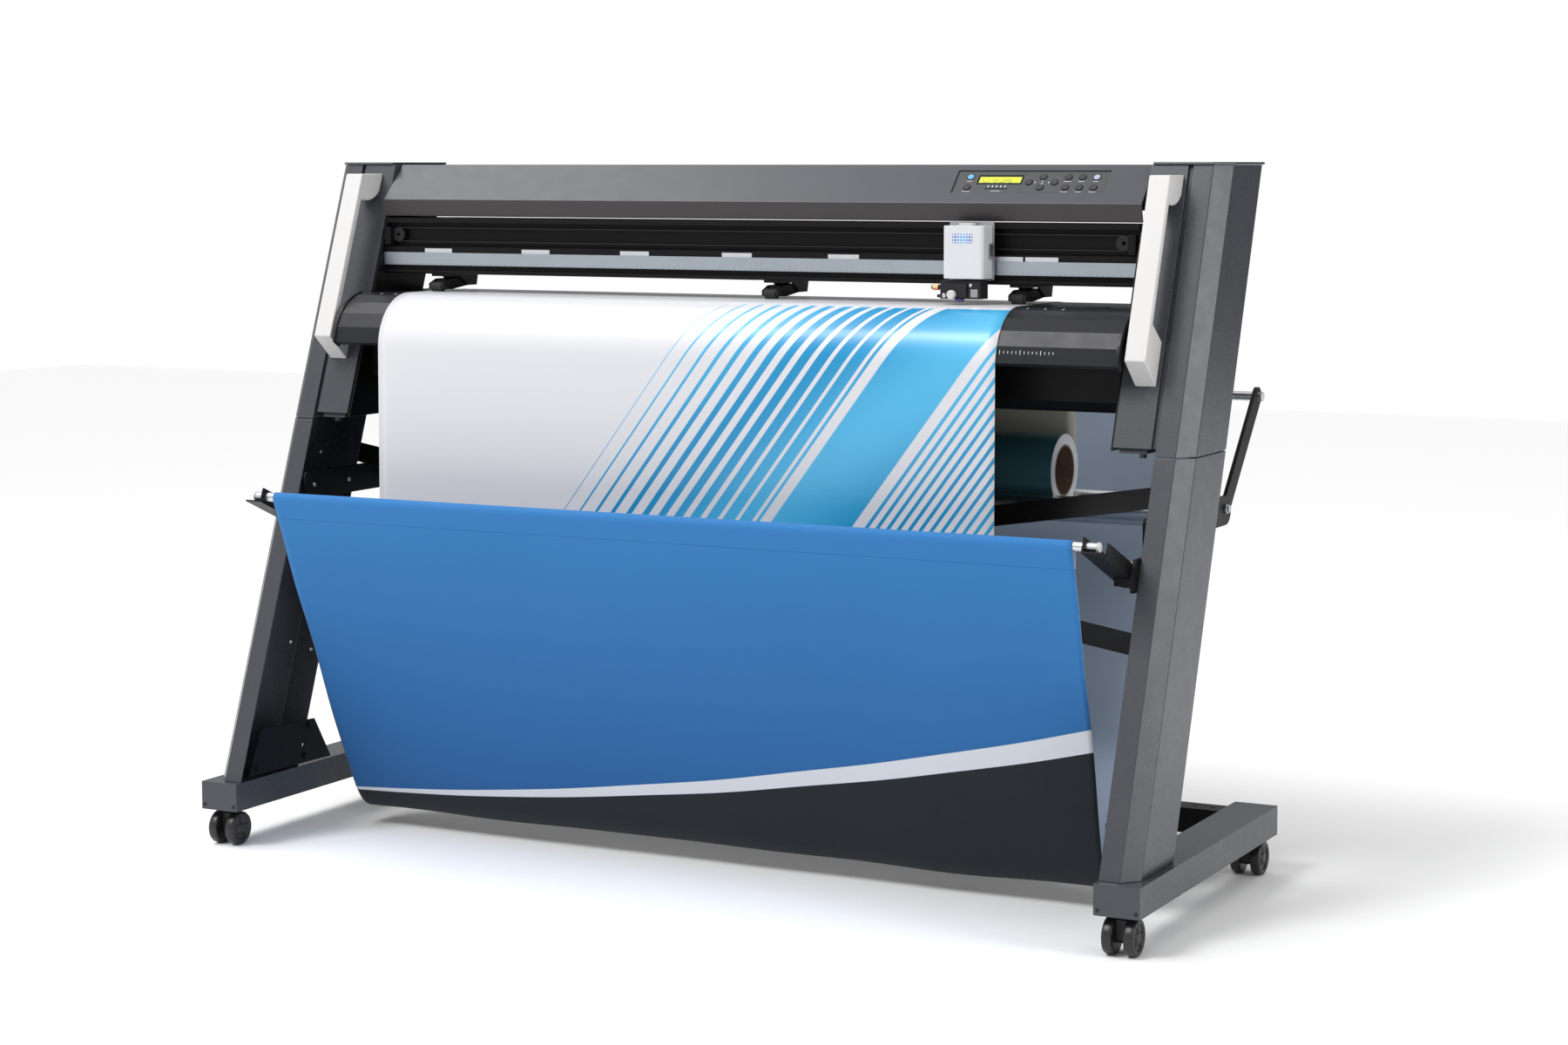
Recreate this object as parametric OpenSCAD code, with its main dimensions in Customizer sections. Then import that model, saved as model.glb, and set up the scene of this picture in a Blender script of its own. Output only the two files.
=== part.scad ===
// Floor-standing vinyl cutter: a leaning stand on casters, the cutting head between two
// leaning housings, a media roll behind and a cloth catch basket in front.
// Depths (Y) are written from the front ends of the feet; placed() moves them to the
// part's own frame, whose origin is the centre of the base at floor level.

/* [Stand] */
// Half of the overall width, to the outer side of the feet
half_w = 819; // [812:1:830]
// Width of one foot tube
foot_w = 70; // [64:1:70]
// Height of one foot tube
foot_h = 46; // [40:1:46]
// Length of the feet, front to back
foot_l = 620; // [600:1:640]
// Height of the underside of the feet above the floor
foot_z = 60; // [60:1:62]
// Backward lean of the uprights, in degrees
lean = 20; // [20:0.5:20.5]
// Depth of the uprights, measured level
post_d = 160; // [158:1:162]
// Sheet thickness of the uprights
sheet_t = 3; // [2:0.5:4]

/* [Head] */
// Overall height
overall_h = 1122; // [1122:1:1124]
// Inner face of each side cover, from the centre
head_x = 684; // [684:1:686]
// Height of the top of the cutting bed
bed_z = 903.5; // [903:0.5:904]
// Radius of the curved front apron
apron_r = 88; // [84:1:90]
// Bends in the front apron sheet
apron_bends = 5; // [4:1:8]
// Position of the cutting carriage, from the centre
carriage_x = 413; // [380:1:440]

/* [Media] */
// Left edge of the loaded sheet, from the centre
sheet_left = -607; // [-620:1:-600]
// Right edge of the loaded sheet, from the centre
sheet_right = 503; // [500:1:510]
// Outer radius of the media roll
roll_r = 58; // [52:1:58]
// Bore radius of the media roll's core
core_r = 38; // [36:1:40]

/* [Basket] */
// Half of the width of the cloth
cloth_x = 697; // [680:1:700]
// Radius of the basket rods
rod_r = 7.5; // [7:0.5:8]

/* [Hidden] */

fine = 96;                        // facets of every true circle
eps = 0.01;                       // overshoot of a cutting tool
foot_top = foot_z + foot_h;
post_in = 751;                    // inner edge of the uprights
post_out = 806;                   // outer side of the uprights
post_cham = [23, 27];             // bevel on the uprights' front outer edge
post_y = 14;                      // front of an upright where it stands on its foot
seam_z = 690;                     // joint between an upright and the housing above it
cap_t = 4;                        // top cap plate
head_top = overall_h - cap_t;

rear_rod = [705, 748];            // [depth, height] of the basket's rear rod
arm_tip_r = 15;                   // round end of a rear arm
overall_d = rear_rod[0] + arm_tip_r;

roll_at = [490, 637];             // axis of the media roll
roller_r = 20;                    // rollers that carry it
roller_dy = 57;                   // from the roll's axis to each roller's axis
roller_z = 583;
roller_x = 735;                   // half of a roller's length
journal_r = 6;
run_fit = 0.05;                   // radial clearance of a running fit

sheet_t_media = 0.6;              // the loaded sheet
sheet_gap = 0.1;                  // gap under it
roll_gap = 0.4;                   // gap to the turning roll
sheet_low = 470;                  // lower edge of the loaded sheet
apron_c = [302, bed_z - 0.5 - apron_r];   // centre of the apron's curve
apron_x = 698;                    // half of the apron's length
rear_c = [470, bed_z - 60];       // centre of the bed's rear guide curve
rear_r = 60;
rear_bends = 8;

grit_at = [350, bed_z - 13.2];    // axis of the feed shaft
grit_r = 13;
shaft_r = 5;
pinch_r = 8;                      // pinch rollers
pinch_at = [grit_at[0], bed_z + 1 + pinch_r];
pinch_pivot = [428, 921.5];
pinch_xs = [-578, 57, 483];
beam_z = 934;                     // underside of the guide beam
beam_y = 344;                     // its front face

front_rod = [48, 577];            // rod that carries the front hem of the cloth
arm_pivot = [175, 523];           // where the basket's front arms swing
arm_x = [714, 744];               // inner and outer side of each arm channel
arm_wall = 2.5;
plate_x = [745, 751];             // brackets on the inner side of the uprights

caster_x = 784;
caster_stem_y = [40, 577];        // front and rear stems
caster_trail = 12;
wheel_r = 27.5;

cover_low = [344, 1059];          // lower front edge of the top cover
cover_high = [402, head_top];     // upper front edge of its slope
slope_l = norm(cover_high - cover_low);
slope_a = atan2(cover_high[1] - cover_low[1], cover_high[0] - cover_low[0]);
panel_x = [364, 617];             // control panel, left and right
panel_v = [23, 71];               // and up the slope
panel_deep = 2.5;                 // depth of the panel's face below the cover
button_r = 5;

// Rows of keys, measured up the slope
key_row_low = 36;
key_row_mid = 47;
key_row_top = 58;

body_grey = [0.36, 0.38, 0.41];
dark = [0.10, 0.10, 0.11];
black = [0.05, 0.05, 0.06];
white = [0.93, 0.92, 0.91];
steel = [0.75, 0.76, 0.78];

// ---- helpers -------------------------------------------------------------

// Level depth of the uprights' front plane at height z
function front_at(z) = post_y + tan(lean) * (z - foot_top);

// Points of an arc in the [depth, height] plane, angles from straight up, positive to the front
function arc(c, r, from, to, steps) =
    [for (i = [0:steps]) let (a = from + (to - from) * i / steps)
        [c[0] - r * sin(a), c[1] + r * cos(a)]];

// Moves depths measured from the feet's front ends into the part's frame
module placed() { translate([0, -overall_d / 2, 0]) children(); }

module both_sides() {
    children();
    mirror([1, 0, 0]) children();
}

// Extrudes a [depth, height] outline from x1 to x2
module slab(x1, x2) {
    translate([x1, 0, 0]) rotate([90, 0, 90]) linear_extrude(x2 - x1) children();
}

// A cylinder along X, centred on [depth, height] c, from x1 to x2
module bar_x(c, r, x1, x2) {
    translate([x1, c[0], c[1]]) rotate([0, 90, 0]) cylinder(r = r, h = x2 - x1, $fn = fine);
}

module block(a, b) { translate(a) cube(b - a); }

// Extrudes a level section up the lean, and cuts it level at z1 and z2.
// The section's depths are given level, from the uprights' front plane.
module leaning(points, z1, z2) {
    intersection() {
        translate([0, post_y, foot_top]) rotate([-lean, 0, 0]) translate([0, 0, -200])
            linear_extrude(1500) polygon([for (p = points) [p[0], p[1] * cos(lean)]]);
        block([-1000, -500, z1], [1000, 1500, z2]);
    }
}

// Frame of the leaning front plane: X across, Y up the lean from the foot, Z out to the front
module on_front_plane() {
    translate([0, post_y, foot_top]) rotate([90 - lean, 0, 0]) children();
}

// Frame of the top cover's slope: X across, Y up the slope, Z out of the face
module on_slope() {
    translate([0, cover_low[0], cover_low[1]]) rotate([slope_a, 0, 0]) children();
}

module hex_head(af, h) { cylinder(r = af / 2 / cos(30), h = h, $fn = 6); }

// Bolt head lying on a face that looks along +Z
module bolt_head(d) {
    cylinder(d = d * 1.9, h = 0.6, $fn = 32);
    hex_head(d * 1.5, d * 0.6);
}

// ---- stand ---------------------------------------------------------------

module foot_tube() {
    x1 = half_w - foot_w;
    color(body_grey) placed() {
        difference() {
            block([x1, 2, foot_z], [half_w, foot_l - 2, foot_top]);
            block([x1 + sheet_t, 2 - eps, foot_z + sheet_t],
                [half_w - sheet_t, foot_l - 2 + eps, foot_top - sheet_t]);
            for (y = caster_stem_y)
                translate([caster_x, y, foot_z - 1]) cylinder(r = 5 + run_fit, h = 5, $fn = fine);
        }
        // end plates
        for (y = [0, foot_l - 2])
            difference() {
                block([x1, y, foot_z], [half_w, y + 2, foot_top]);
                for (x = [x1 + 6, half_w - 6])
                    translate([x, y - 1, foot_z + 8]) rotate([-90, 0, 0])
                        cylinder(r = 2, h = 4, $fn = 32);
            }
    }
}

module right_foot() { foot_tube(); }
module left_foot() { mirror([1, 0, 0]) foot_tube(); }

// Channel that joins the feet near the back
module rear_stay() {
    x = half_w - foot_w;
    y = [548, 592];
    color(black) placed() difference() {
        block([-x, y[0], foot_z + 4], [x, y[1], foot_top - 2]);
        block([-x - 1, y[0] + sheet_t, foot_z + 3], [x + 1, y[1] - sheet_t, foot_top - 2 - sheet_t]);
        for (side = [-1, 1], n = [0, 1])
            translate([side * (x - 20 - 30 * n), y[0] + 22, foot_top - 10])
                cylinder(r = 3.2, h = 10, $fn = fine);
    }
}

post_outer = [[post_in, 0], [post_out - post_cham[0], 0], [post_out, post_cham[1]],
    [post_out, post_d], [post_in, post_d]];
// The lower part is a channel, open towards the middle of the stand
post_channel = [[post_in, 0], [post_out - post_cham[0], 0], [post_out, post_cham[1]],
    [post_out, post_d], [post_in, post_d], [post_in, post_d - sheet_t],
    [post_out - sheet_t, post_d - sheet_t], [post_out - sheet_t, post_cham[1] + 1.3],
    [post_out - post_cham[0] - 1.3, sheet_t], [post_in, sheet_t]];

module upright() { color(body_grey) placed() leaning(post_channel, foot_top, seam_z); }
module right_upright() { upright(); }
module left_upright() { mirror([1, 0, 0]) upright(); }

brace_rise = 228;                 // height gained between the uprights
brace_z = 509.5;                  // height of the crossing
brace_l = 1580;
brace_h = 33;
brace_t = 4;
gusset = [[33, 113], [68, 187], [217, 181], [262, 109]];
gusset_bolts = [[62, 176], [200, 172], [56, 122], [188, 122]];

// Two crossed flat bars behind the uprights, and the plates that tie each upright to its foot
module stand_braces() {
    color(black) placed() {
        for (side = [-1, 1])
            translate([0, front_at(brace_z) + post_d, brace_z]) rotate([-lean, 0, 0])
                rotate([0, -side * atan(brace_rise / cos(lean) / (2 * post_in)), 0])
                    translate([-brace_l / 2, side > 0 ? 0 : brace_t + 0.5, -brace_h / 2])
                        cube([brace_l, brace_t, brace_h]);
        both_sides() {
            slab(post_in - 3, post_in) difference() {
                polygon(gusset);
                translate([182, 142]) circle(r = 5, $fn = fine);
            }
            for (b = gusset_bolts)
                translate([post_in - 3, b[0], b[1]]) rotate([0, -90, 0]) bolt_head(6);
        }
    }
}

// ---- head housings, covers and handles -----------------------------------

module head_housings() {
    t = 2.5;
    inner = [[post_in + t, t], [post_out - post_cham[0] - 1, t], [post_out - t, post_cham[1] + 1],
        [post_out - t, post_d - t], [post_in + t, post_d - t]];
    lip = 3;
    cap = [[head_x + 4, -lip], [post_out - post_cham[0] + 1, -lip], [post_out + lip, post_cham[1] - 1],
        [post_out + lip, post_d + lip], [head_x + 4, post_d + lip]];
    color(body_grey) placed() both_sides() {
        difference() {
            leaning(post_outer, seam_z + 1, head_top);
            leaning(inner, seam_z + 1 + t, head_top + 1);
        }
        leaning(cap, head_top, overall_h);
    }
}

module side_covers() {
    t = 2.5;
    groove = 6;
    x2 = 744;
    outer = [[head_x, 0], [x2, 0], [x2, groove], [post_in, groove], [post_in, post_d - groove],
        [x2, post_d - groove], [x2, post_d - 3], [head_x, post_d - 3]];
    inner = [[head_x + t, t], [x2 - t, t], [x2 - t, post_d - 3 - t], [head_x + t, post_d - 3 - t]];
    base = [[head_x + 8, 8], [x2 - 8, 8], [x2 - 8, post_d - 11], [head_x + 8, post_d - 11]];
    color(body_grey) placed() both_sides() {
        difference() {
            leaning(outer, 702, head_top);
            leaning(inner, 702 + t, head_top + 1);
        }
        leaning(base, 694, 702);
        translate([head_x + 38, front_at(694) + 30, 686]) cylinder(r = 5.5, h = 8, $fn = 32);
    }
}

handle_x = [706, 739];            // left and right side of a handle
handle_out = 58;                  // how far the grip stands out
handle_t = 12;                    // thickness of the grip
handle_foot = [729, 751];         // its lower end up the lean, at the panel and at the front
handle_top = 1102.5;              // its level top
handle_gap = [799, 812];          // lower end of the finger gap, at the panel and at the grip
handle_gap_top = 999;             // upper end of the finger gap at the grip
handle_round = 51;                // radius of the upper foot's lower side

module side_handles() {
    inner = handle_out - handle_t;
    round_s = handle_gap_top + handle_round;
    color(white) placed() both_sides() intersection() {
        on_front_plane() translate([handle_x[0], 0, 0]) rotate([90, 0, 90])
            linear_extrude(handle_x[1] - handle_x[0]) difference() {
                polygon([[handle_foot[0], 0], [handle_foot[1], handle_out],
                    [overall_h, handle_out], [overall_h, 0]]);
                difference() {
                    polygon([[handle_gap[0], -1], [handle_gap[0], 0], [handle_gap[1], inner],
                        [round_s, inner], [round_s, -1]]);
                    translate([round_s, inner]) circle(r = handle_round, $fn = fine);
                }
            }
        block([0, 0, 0], [half_w, overall_d, handle_top]);
    }
}

cover_t = 2.5;

// Bent sheet cover over the guide beam, with the opening for the control panel
module top_cover() {
    back = [548, 1046];
    low = [351, 1031];
    t = cover_t;
    x = head_x - 0.5;
    color(body_grey) placed() difference() {
        slab(-x, x) polygon([[low[0] + 18, low[1]], low, cover_low, cover_high,
            [back[0], head_top], back, [back[0] - t, back[1]], [back[0] - t, head_top - t],
            [cover_high[0] + 1, head_top - t], [cover_low[0] + t + 1, cover_low[1] - 1],
            [low[0] + t + 0.3, low[1] + t], [low[0] + 18, low[1] + t]]);
        on_slope() block([panel_x[0], panel_v[0], -20], [panel_x[1], panel_v[1], 20]);
    }
}

// ---- control panel -------------------------------------------------------

keys = [[387, key_row_top], [387, key_row_low],
    [487.5, key_row_mid], [508.5, key_row_top], [529.5, key_row_mid], [508.5, key_row_low],
    [550, key_row_top], [573, key_row_top], [596, key_row_top],
    [550, key_row_low], [573, key_row_low], [596, key_row_low]];
lcd_x = [403, 473];
lcd_v = [46, 59];
panel_t = 2;

module control_panel() {
    color(dark) placed() on_slope() difference() {
        union() {
            translate([0, 0, -panel_deep - panel_t])
                block([panel_x[0] - 4, panel_v[0] - 3, 0],
                    [panel_x[1] + 4, panel_v[1] + 3, panel_t - 0.7]);
            translate([0, 0, -panel_deep - panel_t])
                block([panel_x[0] + 0.3, panel_v[0] + 0.3, 0],
                    [panel_x[1] - 0.3, panel_v[1] - 0.3, panel_t]);
        }
        for (k = keys)
            translate([k[0], k[1], -10]) cylinder(r = button_r + 0.2, h = 20, $fn = fine);
        block([lcd_x[0], lcd_v[0], -10], [lcd_x[1], lcd_v[1], 10]);
    }
}

module display_window() {
    color([0.75, 0.8, 0.15]) placed() on_slope()
        translate([0, 0, -panel_deep - panel_t])
            block([lcd_x[0] + 0.1, lcd_v[0] + 0.1, -1], [lcd_x[1] - 0.1, lcd_v[1] - 0.1, panel_t - 0.4]);
}

button_out = 1.2;                 // how far a button stands out of the panel

module button(n, tint) {
    color(tint) placed() on_slope() translate([keys[n][0], keys[n][1], -panel_deep]) {
        translate([0, 0, -3]) cylinder(r = button_r, h = 3 + button_out - 0.3, $fn = fine);
        translate([0, 0, button_out - 0.3]) cylinder(r = button_r - 0.4, h = 0.3, $fn = fine);
        // flange that holds the button behind the panel
        translate([0, 0, -panel_t - 1.4]) cylinder(r = button_r + 1.5, h = 1, $fn = fine);
    }
}

module power_button() { button(0, [0.35, 0.7, 0.95]); }
module setup_button() { button(1, black); }
module arrow_left_button() { button(2, black); }
module arrow_up_button() { button(3, black); }
module arrow_right_button() { button(4, black); }
module arrow_down_button() { button(5, black); }
module key_1_button() { button(6, black); }
module key_2_button() { button(7, black); }
module key_3_button() { button(8, [0.75, 0.8, 0.9]); }
module key_4_button() { button(9, black); }
module key_5_button() { button(10, black); }
module key_6_button() { button(11, black); }

// ---- guide beam and drive ------------------------------------------------

beam_x = 679.5;
belt_z = [988, 1012];             // lower and upper runs of the drive belt
belt_y = [346, 353];
pulley_x = 655;

// Hollow beam with a recess along its upper front for the drive belt
module guide_beam() {
    t = 4;
    back = 452;
    deep = 357;
    color(black) placed() difference() {
        slab(-beam_x, beam_x) polygon([[beam_y + 2, beam_z], [back, beam_z], [back, 1028],
            [beam_y + 2, 1028], [beam_y + 2, 1020], [deep, 1020], [deep, 980], [beam_y, 980],
            [beam_y, 946], [beam_y + 2, 944.5], [beam_y + 2, 942.5], [beam_y, 941],
            [beam_y, beam_z + 2]]);
        slab(-beam_x - 1, beam_x + 1)
            polygon([[beam_y + 6, beam_z + t], [back - t, beam_z + t], [back - t, 1028 - t],
                [deep + t, 1028 - t], [deep + t, 976], [beam_y + 6, 976]]);
    }
}

strip_z = [949, 970];
tab_w = 54;
tab_xs = [-572, -380, -191, -2, 188, 466, 524];

// Ground steel strip that the carriage wheels run on, with its clamp tabs
module guide_strip() {
    color([0.62, 0.68, 0.73]) placed() {
        block([-beam_x, 339.5, strip_z[0]], [beam_x, beam_y, strip_z[1]]);
        for (x = tab_xs)
            block([x - tab_w / 2, beam_y - 1.5, strip_z[1]], [x + tab_w / 2, beam_y, strip_z[1] + 7]);
    }
}

// Toothed belt and its two pulleys in the beam's recess
module carriage_drive() {
    r = (belt_z[1] - belt_z[0]) / 2;
    zc = (belt_z[1] + belt_z[0]) / 2;
    t = 1.2;
    color([0.16, 0.16, 0.17]) placed() {
        for (z = [belt_z[0], belt_z[1] - t])
            block([-pulley_x, belt_y[0], z], [pulley_x, belt_y[1], z + t]);
        for (side = [-1, 1])
            translate([side * pulley_x, belt_y[0], zc]) rotate([-90, 0, 0])
                difference() {
                    cylinder(r = r, h = belt_y[1] - belt_y[0], $fn = fine);
                    translate([0, 0, -1]) cylinder(r = 3, h = 20, $fn = fine);
                }
    }
}

// ---- bed, apron and chassis ----------------------------------------------

// Cutting bed with pockets for the feed rollers and a rolled rear edge
module bed() {
    t = 9;
    color(dark) placed() difference() {
        slab(-beam_x, beam_x) polygon(concat([[303, bed_z - t], [303, bed_z]],
            arc(rear_c, rear_r, 0, -90, rear_bends), arc(rear_c, rear_r - 5, -90, -18, 6),
            [[rear_c[0], bed_z - t]]));
        // pockets that let the feed rollers show through the surface
        for (x = pinch_xs) bar_x(grit_at, grit_r + 0.5, x - 62, x + 62);
        // groove over the shaft between them
        bar_x(grit_at, shaft_r + 0.6, -beam_x - 1, beam_x + 1);
    }
}

// Bent apron that leads the sheet down, with a rib along each end
module front_apron() {
    t = 2.5;
    end = 85;
    lip = [226, 817.5];
    color(body_grey) placed() {
        slab(-apron_x, apron_x) polygon(concat(arc(apron_c, apron_r, 0, end, apron_bends),
            [lip, lip + [2, 2]], arc(apron_c, apron_r - t, end - 2, 0, apron_bends)));
        both_sides() slab(apron_x - 4, apron_x)
            polygon(concat(arc(apron_c, apron_r + 2, 5, end, 12),
                [lip + [0, -3], lip + [6, 4]], arc(apron_c, apron_r - 7, end - 6, 5, 12)));
    }
}

// Lower body under the bed, with the end plates that carry the beam, the bed and the shaft
module chassis() {
    t = 3;
    x1 = head_x - 4;
    color(black) placed() {
        difference() {
            slab(-x1, x1) polygon([[300, bed_z - 9], [300, 762], [312, 746], [440, 746],
                [440, bed_z - 9]]);
            slab(-x1 - 1, x1 + 1) polygon([[300 + t, bed_z - 8], [300 + t, 763], [313.5, 746 + t],
                [440 - t, 746 + t], [440 - t, bed_z - 8]]);
            // mains inlet
            block([560, 430, 776], [590, 450, 800]);
        }
        both_sides() difference() {
            leaning([[x1, 4], [head_x, 4], [head_x, post_d - 8], [x1, post_d - 8]], 697, 1030);
            bar_x(grit_at, shaft_r + run_fit, x1 - 1, head_x + 1);
        }
        // inlet socket
        difference() {
            block([560, 425, 776], [590, 438, 800]);
            block([563, 428, 779], [587, 439, 797]);
        }
    }
}

// Feed shaft with a knurled roller under each pinch roller
module grit_shaft() {
    color(steel) placed() {
        bar_x(grit_at, shaft_r, -head_x + 0.5, head_x - 0.5);
        for (x = pinch_xs) bar_x(grit_at, grit_r, x - 60, x + 60);
    }
}

// ---- carriage ------------------------------------------------------------

plate_z = [941.5, 1031];
plate_y = [331, 334];

module carriage_plate() {
    color([0.55, 0.56, 0.58]) placed() {
        block([carriage_x - 37, plate_y[0], plate_z[0]], [carriage_x + 37, plate_y[1], plate_z[1]]);
        // grooved wheels above and below the strip
        for (x = [-24, 24], z = [strip_z[0] - 5.4, strip_z[1] + 5.4])
            translate([carriage_x + x, plate_y[1], z]) rotate([-90, 0, 0]) {
                cylinder(r = 3, h = 2.5, $fn = fine);
                translate([0, 0, 1]) cylinder(r = 5, h = 7, $fn = fine);
            }
        // clamp on the belt's lower run
        block([carriage_x - 12, plate_y[1], belt_z[0] - 3],
            [carriage_x + 12, belt_y[0] - 0.6, belt_z[0] + 4]);
    }
}

cover_y = 295;
cover_x = [carriage_x - 33, carriage_x + 34];

module carriage_cover() {
    r = 6;
    t = 2;
    z = [944, 1025];
    color(white) placed() difference() {
        translate([0, 0, z[0]]) linear_extrude(z[1] - z[0]) union() {
            translate([cover_x[0], cover_y + r])
                square([cover_x[1] - cover_x[0], plate_y[0] - cover_y - r]);
            translate([cover_x[0] + r, cover_y]) square([cover_x[1] - cover_x[0] - 2 * r, r + 1]);
            for (x = [cover_x[0] + r, cover_x[1] - r])
                translate([x, cover_y + r]) circle(r = r, $fn = fine);
        }
        block([cover_x[0] + t, cover_y + t + 2, z[0] - 1], [cover_x[1] - t, plate_y[0] + 1, z[1] - t]);
    }
}

// Blade holder block with its clamp knob, hanging below the carriage
module tool_holder() {
    z = [912, 941];
    blade_x = carriage_x - 12;
    color(dark) placed() {
        block([carriage_x - 39, 300, z[0] + 1], [carriage_x + 28, 329, z[1]]);
        block([carriage_x - 26, 296, z[0] + 4], [carriage_x + 6, 300, z[1] - 4]);
        // blade holder
        translate([blade_x, 312, 908.5]) cylinder(r = 7, h = 8, $fn = fine);
        translate([blade_x, 312, 907]) cylinder(r = 1, h = 2, $fn = fine);
        // clamp knob and screws on the front
        translate([carriage_x - 17, 296, 920]) rotate([90, 0, 0]) cylinder(r = 5, h = 5, $fn = fine);
        translate([carriage_x - 31, 300, 918]) rotate([90, 0, 0]) cylinder(r = 2.5, h = 3, $fn = fine);
        // adjusting knob on the left end
        bar_x([312, 930], 3.5, carriage_x - 58, carriage_x - 44);
        bar_x([312, 930], 2, carriage_x - 45, carriage_x - 38);
        bar_x([306, 917], 2.5, carriage_x - 46, carriage_x - 38);
    }
}

// ---- pinch rollers -------------------------------------------------------

pinch_w = 15;                     // half of a bracket's width

module pinch_bracket(n) {
    x = pinch_xs[n];
    y = [pinch_at[0] + 8, 446];
    top = beam_z - 0.5;
    color(dark) placed() {
        block([x - pinch_w - 3, y[0], top - 4], [x + pinch_w + 3, y[1], top]);
        for (side = [-1, 1]) difference() {
            slab(side > 0 ? x + pinch_w : x - pinch_w - 3, side > 0 ? x + pinch_w + 3 : x - pinch_w)
                polygon([[y[0] + 30, top - 3.9], [y[1], top - 3.9],
                    [y[1] - 4, 913], [pinch_pivot[0] - 12, 913]]);
            bar_x(pinch_pivot, 2.5 + run_fit, x - 40, x + 40);
        }
    }
}

module pinch_arm(n) {
    x = pinch_xs[n];
    w = pinch_w - 0.4;
    color(black) placed() {
        difference() {
            slab(x - w, x + w) polygon([[pinch_at[0] - 6, 909], [pinch_at[0] + 20, 907.5],
                [pinch_pivot[0], 914], [pinch_pivot[0] + 6, 918], [pinch_pivot[0] + 6, 926],
                [pinch_at[0] + 14, 925.5], [pinch_at[0] + 2, 921], [pinch_at[0] - 6, 918]]);
            // room for the roller
            block([x - 10.5, pinch_at[0] - 20, 900], [x + 10.5, pinch_at[0] + 11, 930]);
            bar_x(pinch_at, 2 + run_fit, x - 20, x + 20);
        }
        // pivot pin
        bar_x(pinch_pivot, 2.5, x - pinch_w - 3, x + pinch_w + 3);
    }
}

module pinch_roller(n) {
    x = pinch_xs[n];
    color([0.12, 0.12, 0.12]) placed() {
        bar_x(pinch_at, pinch_r, x - 10, x + 10);
        bar_x(pinch_at, 2, x - pinch_w, x + pinch_w);
    }
}

module pinch_bracket_left() { pinch_bracket(0); }
module pinch_bracket_middle() { pinch_bracket(1); }
module pinch_bracket_right() { pinch_bracket(2); }
module pinch_arm_left() { pinch_arm(0); }
module pinch_arm_middle() { pinch_arm(1); }
module pinch_arm_right() { pinch_arm(2); }
module pinch_roller_left() { pinch_roller(0); }
module pinch_roller_middle() { pinch_roller(1); }
module pinch_roller_right() { pinch_roller(2); }

// ---- casters -------------------------------------------------------------

// side is 1 on the right and -1 on the left; end is 0 at the front and 1 at the back
function caster_axle_y(end) = caster_stem_y[end] + (end == 0 ? -caster_trail : caster_trail);
hub_w = 8;                        // half of the fork body between the twin wheels
axle_r = 4;

module caster_fork(side, end) {
    y = caster_stem_y[end];
    ya = caster_axle_y(end);
    x = side * caster_x;
    low = min(y, ya) - 9;
    high = max(y, ya) + 9;
    color(dark) placed() difference() {
        union() {
            slab(x - hub_w, x + hub_w) polygon([[low, 24], [low, 52], [low + 5, 57], [high - 5, 57],
                [high, 52], [high, 24], [high - 6, 18], [low + 6, 18]]);
            translate([x, y, 55]) cylinder(r = 5, h = foot_z + 5 - 55, $fn = fine);
            translate([x, y, 56]) cylinder(r = 9, h = 3.6, $fn = fine);
        }
        bar_x([ya, wheel_r], axle_r + run_fit, x - 20, x + 20);
    }
}

module caster_wheels(side, end) {
    ya = caster_axle_y(end);
    x = side * caster_x;
    w = 16;
    color(black) placed() {
        for (s = [-1, 1]) {
            x1 = s > 0 ? x + hub_w + 0.5 : x - hub_w - 0.5 - w;
            difference() {
                bar_x([ya, wheel_r], wheel_r, x1, x1 + w);
                bar_x([ya, wheel_r], 19, s > 0 ? x1 + w - 3 : x1 - 1, s > 0 ? x1 + w + 1 : x1 + 3);
            }
        }
        bar_x([ya, wheel_r], axle_r, x - hub_w - w + 1, x + hub_w + w - 1);
        bar_x([ya, wheel_r], 7, x - hub_w - w + 1, x - hub_w - w + 4);
        bar_x([ya, wheel_r], 7, x + hub_w + w - 4, x + hub_w + w - 1);
    }
}

module caster_fork_front_left() { caster_fork(-1, 0); }
module caster_fork_front_right() { caster_fork(1, 0); }
module caster_fork_rear_left() { caster_fork(-1, 1); }
module caster_fork_rear_right() { caster_fork(1, 1); }
module caster_wheels_front_left() { caster_wheels(-1, 0); }
module caster_wheels_front_right() { caster_wheels(1, 0); }
module caster_wheels_rear_left() { caster_wheels(-1, 1); }
module caster_wheels_rear_right() { caster_wheels(1, 1); }

// ---- media ---------------------------------------------------------------

module media_roll() {
    color([0.12, 0.35, 0.42]) placed() difference() {
        bar_x(roll_at, roll_r, sheet_left - 2, sheet_right + 2);
        bar_x(roll_at, core_r, sheet_left - 3, sheet_right + 3);
    }
}

module media_roller(side) {
    c = [roll_at[0] + side * roller_dy, roller_z];
    color(steel) placed() {
        bar_x(c, roller_r, -roller_x, roller_x);
        bar_x(c, journal_r, -plate_x[1] - 8, plate_x[1] + 8);
    }
}

module media_roller_front() { media_roller(-1); }
module media_roller_rear() { media_roller(1); }

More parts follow.
